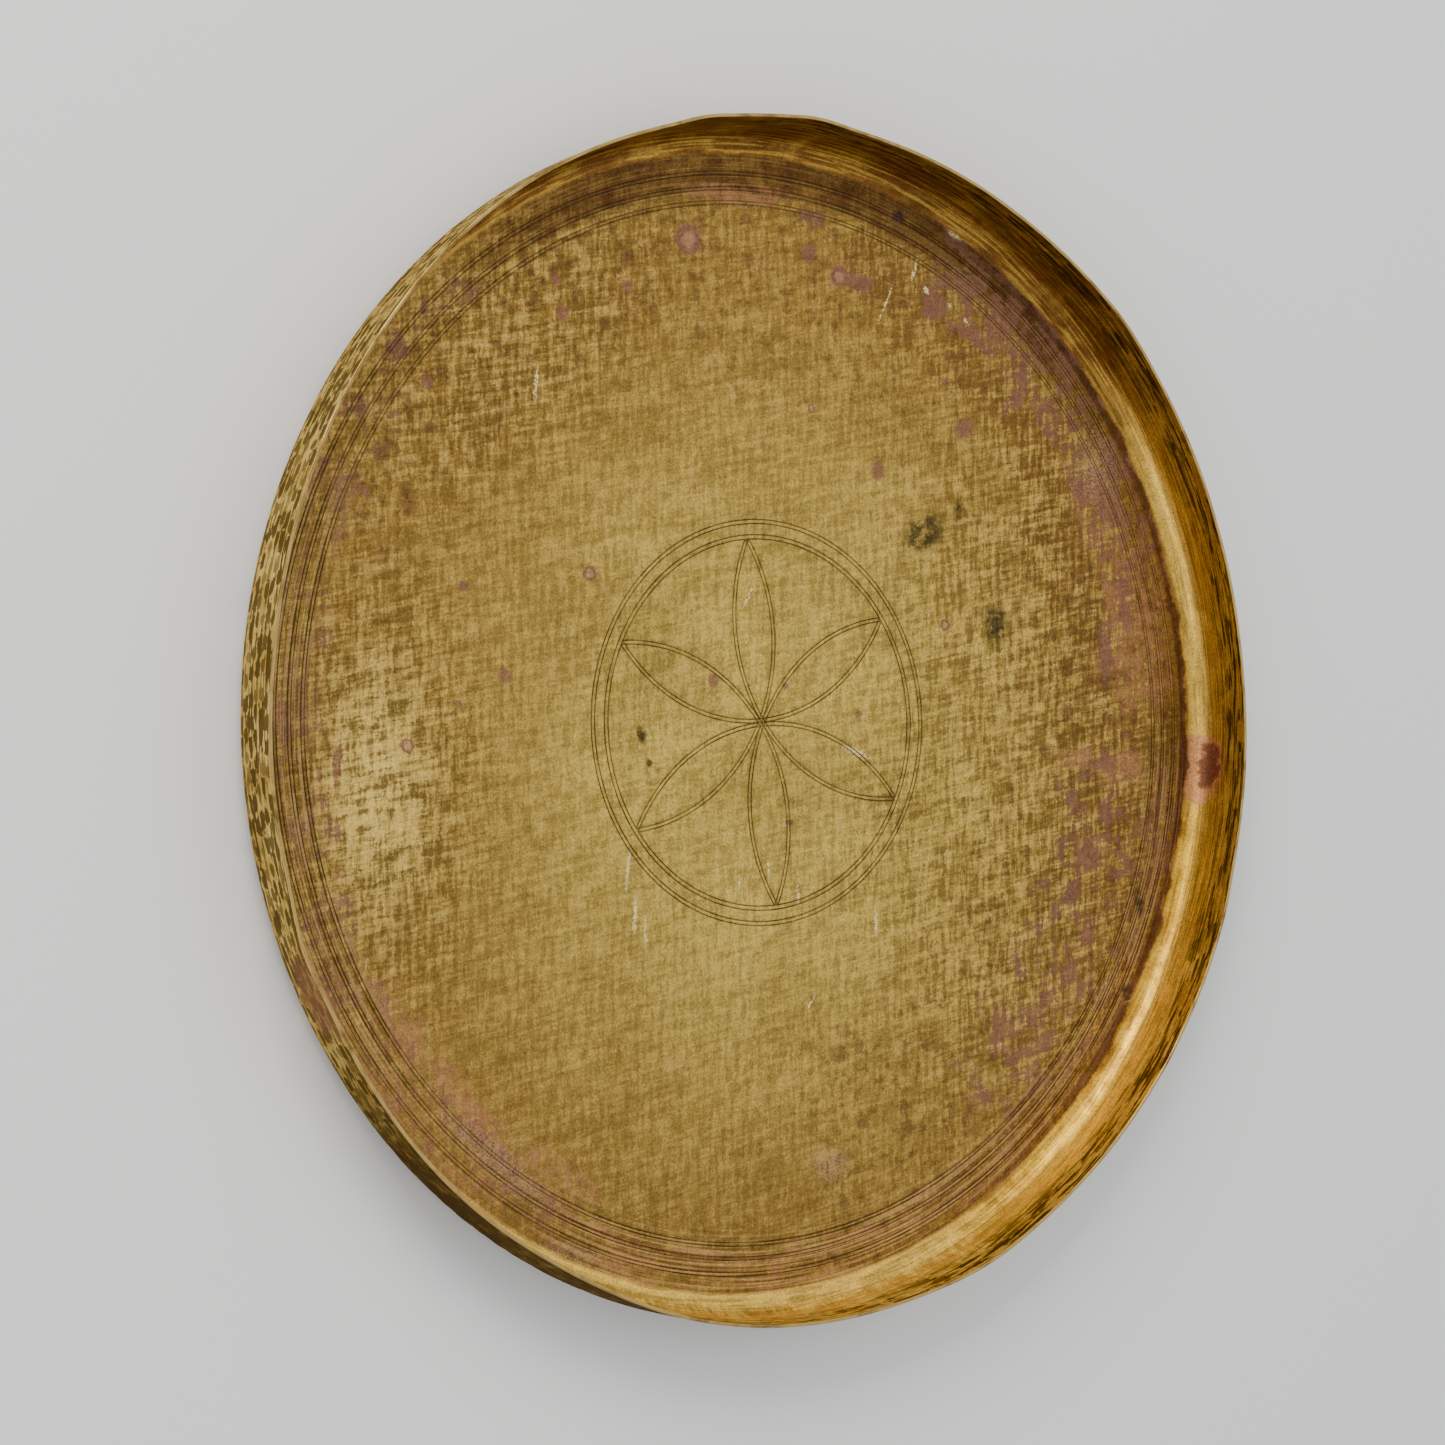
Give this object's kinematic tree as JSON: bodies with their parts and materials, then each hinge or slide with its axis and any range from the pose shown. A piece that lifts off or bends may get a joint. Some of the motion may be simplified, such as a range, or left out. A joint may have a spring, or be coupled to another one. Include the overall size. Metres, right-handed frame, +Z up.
{
  "type": "round tray",
  "caption": "Large shallow round tray raised by hand from one brass sheet: flat floor, tight bend and a low, nearly upright wall with a plain cut lip.",
  "frame": {"origin": "middle of the underside of the flat floor, on the tray's axis", "axes": "+Z up the tray's axis, out of its open side; X and Y lie in the plane the tray stands on"},
  "size_m": [0.5, 0.5, 0.032],
  "materials": {
    "old_brass": "hand-hammered and scribed brass under an old olive-brown patina, half dull, with copper-pink and dark brown patches"
  },
  "bodies": {
    "root": {"tray_body": "old_brass"}
  },
  "joints": []
}
